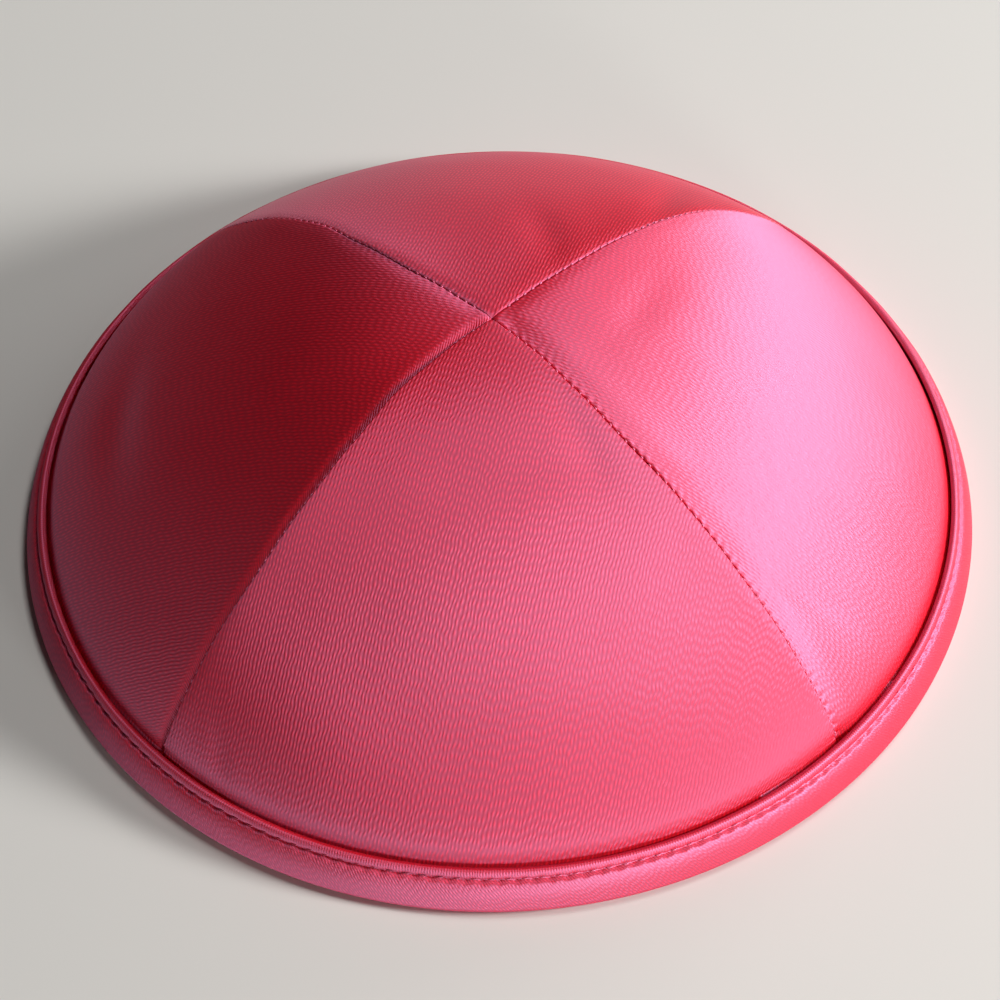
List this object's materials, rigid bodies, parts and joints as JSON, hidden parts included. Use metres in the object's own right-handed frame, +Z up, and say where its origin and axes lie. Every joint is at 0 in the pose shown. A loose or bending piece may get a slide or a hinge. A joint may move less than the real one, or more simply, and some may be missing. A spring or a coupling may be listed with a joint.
{
  "type": "satin kippah",
  "caption": "Round dome-shaped satin skullcap of sewn gores with a folded, topstitched binding around the rim, hollow and open below.",
  "frame": {"origin": "middle of the rim, on the plane the kippah rests on", "axes": "+Z up through the top of the crown, -Y towards the front gore, +X towards the right gore"},
  "size_m": [0.17, 0.17, 0.0532],
  "materials": {
    "gore_satin": "satin",
    "binding_satin": "satin",
    "stitch_thread": "satin"
  },
  "bodies": {
    "root": {"front_panel": "gore_satin", "right_panel": "gore_satin", "back_panel": "gore_satin", "left_panel": "gore_satin", "rim_binding": "binding_satin"}
  },
  "joints": []
}
